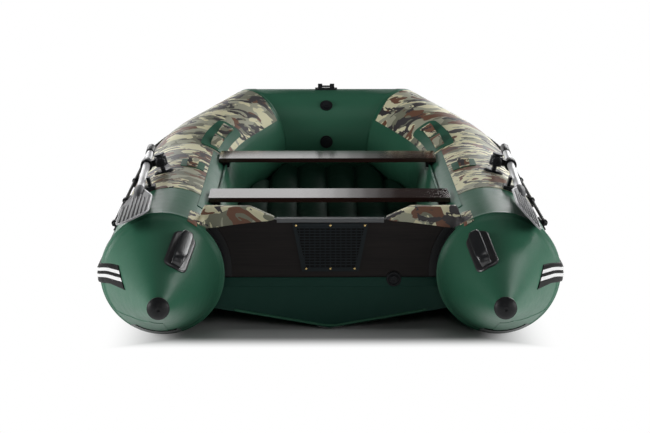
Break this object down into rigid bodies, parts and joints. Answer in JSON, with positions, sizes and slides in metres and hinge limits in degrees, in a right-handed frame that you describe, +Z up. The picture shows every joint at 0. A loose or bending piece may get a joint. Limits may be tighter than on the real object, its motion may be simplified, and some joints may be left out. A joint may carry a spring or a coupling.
{
  "type": "inflatable boat",
  "caption": "Inflatable boat with a U-shaped buoyancy tube, plank transom with motor plate, sliding benches, inflated floor and oars stowed along the tubes.",
  "frame": {"origin": "centre of the bounding box, on the ground under the boat", "axes": "+Y towards the bow, +X to starboard, +Z up"},
  "size_m": [1.6124, 3.0864, 0.5655],
  "materials": {
    "tube_fabric": "satin",
    "pattern_fabric": "matte",
    "black_rubber": "satin",
    "black_plastic": "satin",
    "edge_trim": "satin",
    "transom_wood": "satin",
    "bench_wood": "gloss",
    "rope": "matte",
    "alloy": "satin",
    "blade_plastic": "satin"
  },
  "bodies": {
    "hull": {"port_tube": "tube_fabric", "starboard_tube": "tube_fabric", "port_shoulder": "tube_fabric", "starboard_shoulder": "tube_fabric", "port_quarter": "tube_fabric", "starboard_quarter": "tube_fabric", "bow_tube": "tube_fabric", "port_cone": "tube_fabric", "starboard_cone": "tube_fabric", "cone_caps": "black_rubber", "cone_handles": "black_plastic", "rub_rail": "black_rubber", "bottom_strips": "black_rubber", "hull_bottom": "tube_fabric", "keel_strip": "black_rubber", "floor_beams_deck": "tube_fabric", "transom": "transom_wood", "transom_holders": "black_rubber", "transom_trim": "edge_trim", "motor_plate": "black_plastic", "rear_skin": "tube_fabric", "transom_flaps": "pattern_fabric", "drain_valve": "black_plastic", "side_panels": "pattern_fabric", "shoulder_panels": "pattern_fabric", "carry_patches": "tube_fabric", "carry_straps": "pattern_fabric", "seat_rails": "tube_fabric", "lifelines": "rope", "lifeline_eyelets": "black_plastic", "air_valves": "black_plastic", "bow_fairlead": "black_plastic", "oarlocks": "black_plastic", "oar_clips": "black_plastic"},
    "port_oar": {"port_oar_shaft": "alloy", "port_oar_grip": "black_rubber", "port_oar_blade": "blade_plastic", "port_oar_swivel": "black_plastic"},
    "starboard_oar": {"starboard_oar_shaft": "alloy", "starboard_oar_grip": "black_rubber", "starboard_oar_blade": "blade_plastic", "starboard_oar_swivel": "black_plastic"},
    "rear_bench": {"rear_bench": "bench_wood", "rear_bench_hangers": "black_plastic"},
    "front_bench": {"front_bench": "bench_wood", "front_bench_hangers": "black_plastic"}
  },
  "joints": [
    {"name": "starboard_oar_swing", "type": "hinge", "parent": "hull", "child": "starboard_oar", "pos_m": [0.6441, -0.1579, 0.46285], "axis": [0.2503, -0.0262, 0.9678], "range_deg": [0, 140]},
    {"name": "port_oar_swing", "type": "hinge", "parent": "hull", "child": "port_oar", "pos_m": [-0.6441, -0.1579, 0.46285], "axis": [0.2503, 0.0262, -0.9678], "range_deg": [0, 140]},
    {"name": "rear_bench_slide", "type": "slide", "parent": "hull", "child": "rear_bench", "axis": [0, 1, 0], "range_m": [-0.1, 0.3]},
    {"name": "front_bench_slide", "type": "slide", "parent": "hull", "child": "front_bench", "axis": [0, 1, 0], "range_m": [-0.3, 0]}
  ]
}
